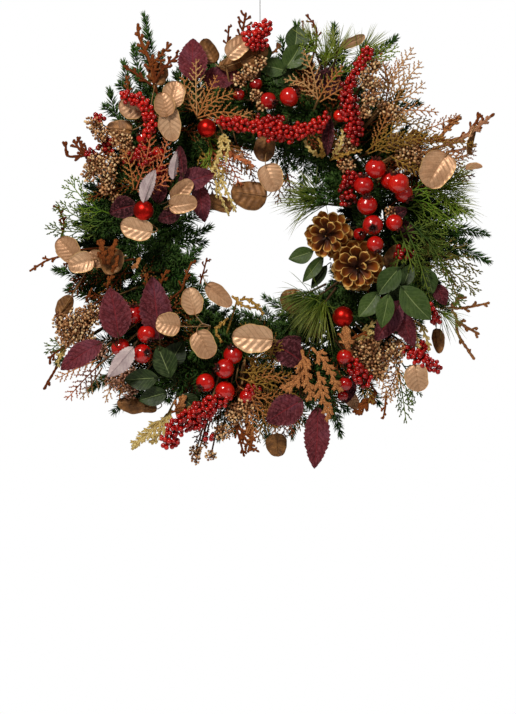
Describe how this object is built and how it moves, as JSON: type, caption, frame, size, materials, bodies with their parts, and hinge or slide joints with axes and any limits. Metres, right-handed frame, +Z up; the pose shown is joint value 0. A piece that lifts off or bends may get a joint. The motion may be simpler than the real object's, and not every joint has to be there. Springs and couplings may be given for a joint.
{
  "type": "harvest door wreath",
  "caption": "Round artificial harvest wreath of fir, pine, cedar, gold and burgundy leaves, red berries, seed heads, flocked twigs and cones on a wire form, hung by a clear line.",
  "frame": {"origin": "the point where a hook carries the top loop of the hanging line", "axes": "+Z up along the hanging line, -Y towards the viewer, so +Y is the wreath's back and its thin direction, +X to the viewer's right"},
  "size_m": [0.6036, 0.1511, 0.6476],
  "materials": {
    "frame_wire": "satin",
    "nylon_line": "gloss",
    "fir_green": "matte",
    "pine_green": "matte",
    "cedar_green": "matte",
    "gold_leaf": "satin",
    "burgundy_leaf": "matte",
    "green_leaf": "satin",
    "small_berry": "gloss",
    "large_berry": "gloss",
    "matte_ball": "satin",
    "cone_scale": "matte",
    "stem_wire": "matte",
    "copper_twig": "matte",
    "seed_gold": "satin"
  },
  "bodies": {
    "hanger": {"line_top_loop": "nylon_line", "hanging_line": "nylon_line"},
    "lower_loop": {"line_lower_loop": "nylon_line"},
    "wreath": {"berry_strand_bottom": "small_berry", "berry_strand_centre": "small_berry", "berry_strand_left": "small_berry", "berry_strand_top_right": "small_berry", "burgundy_leaves_bottom": "burgundy_leaf", "burgundy_leaves_left": "burgundy_leaf", "burgundy_leaves_lower_left": "burgundy_leaf", "burgundy_leaves_top": "burgundy_leaf", "cedar_spray_right": "cedar_green", "copper_twig_bottom": "copper_twig", "fir_bough_bottom": "fir_green", "fir_bough_bottom_left": "fir_green", "fir_bough_bottom_right": "fir_green", "fir_bough_inner_left": "fir_green", "fir_bough_left": "fir_green", "fir_bough_right": "fir_green", "fir_bough_top_left": "fir_green", "fir_bough_top_right": "fir_green", "frame_crest_ring": "frame_wire", "frame_cross_wire_1": "frame_wire", "frame_cross_wire_2": "frame_wire", "frame_cross_wire_3": "frame_wire", "frame_cross_wire_4": "frame_wire", "frame_inner_ring": "frame_wire", "frame_outer_ring": "frame_wire", "gold_leaves_bottom": "gold_leaf", "gold_leaves_left": "gold_leaf", "gold_leaves_lower_left": "gold_leaf", "gold_leaves_right": "gold_leaf", "gold_leaves_top": "gold_leaf", "gold_leaves_top_left": "gold_leaf", "green_leaves_lower_left": "green_leaf", "green_leaves_right": "green_leaf", "hanger_eye": "frame_wire", "large_berries_bottom": "large_berry", "large_berries_left": "large_berry", "large_berries_right_lower": "large_berry", "large_berries_right_upper": "large_berry", "large_berries_top": "large_berry", "matte_ball_bottom": "matte_ball", "matte_ball_left": "matte_ball", "matte_ball_top": "matte_ball", "pine_cone_lower_wire": "stem_wire", "pine_cone_upper_wire": "stem_wire", "pine_tuft_bottom": "pine_green", "pine_tuft_inner_right": "pine_green", "pine_tuft_top": "pine_green", "seed_head_bottom_left": "seed_gold", "seed_head_bottom_right": "seed_gold", "seed_head_left": "seed_gold", "seed_head_top_right": "seed_gold"},
    "pine_cone_upper": {"pine_cone_upper": "cone_scale"},
    "pine_cone_lower": {"pine_cone_lower": "cone_scale"},
    "twig_left_upper": {"copper_twig_left_upper": "copper_twig"},
    "twig_left_lower": {"copper_twig_left_lower": "copper_twig"},
    "twig_right_lower": {"copper_twig_right_lower": "copper_twig"},
    "twig_right_upper": {"copper_twig_right_upper": "copper_twig"}
  },
  "joints": [
    {"name": "line_turn", "type": "hinge", "parent": "hanger", "child": "lower_loop", "pos_m": [0, 0, -0.142], "axis": [0, 0, 1], "range_deg": [-180, 180]},
    {"name": "wreath_tilt", "type": "hinge", "parent": "lower_loop", "child": "wreath", "pos_m": [0, 0, -0.142], "axis": [1, 0, 0], "range_deg": [-15, 20]},
    {"name": "cone_upper_nod", "type": "hinge", "parent": "wreath", "child": "pine_cone_upper", "pos_m": [0.09579, -0.00515, -0.33461], "axis": [0.6668, -0.0203, -0.745], "range_deg": [-6, 6]},
    {"name": "cone_lower_nod", "type": "hinge", "parent": "wreath", "child": "pine_cone_lower", "pos_m": [0.12931, -0.0091, -0.37418], "axis": [0.6824, 0.11, -0.7227], "range_deg": [-2, 6]},
    {"name": "twig_left_upper_bend", "type": "hinge", "parent": "wreath", "child": "twig_left_upper", "pos_m": [-0.17659, 0.0717, -0.24011], "axis": [-0.4695, 0, -0.8829], "range_deg": [-2, 12]},
    {"name": "twig_left_lower_bend", "type": "hinge", "parent": "wreath", "child": "twig_left_lower", "pos_m": [-0.1782, 0.0717, -0.4248], "axis": [0.454, 0, -0.891], "range_deg": [-2, 12]},
    {"name": "twig_right_lower_bend", "type": "hinge", "parent": "wreath", "child": "twig_right_lower", "pos_m": [0.17143, 0.0717, -0.43701], "axis": [0.515, 0, 0.8572], "range_deg": [-2, 12]},
    {"name": "twig_right_upper_bend", "type": "hinge", "parent": "wreath", "child": "twig_right_upper", "pos_m": [0.17143, 0.0717, -0.23099], "axis": [-0.515, 0, 0.8572], "range_deg": [-2, 12]}
  ]
}
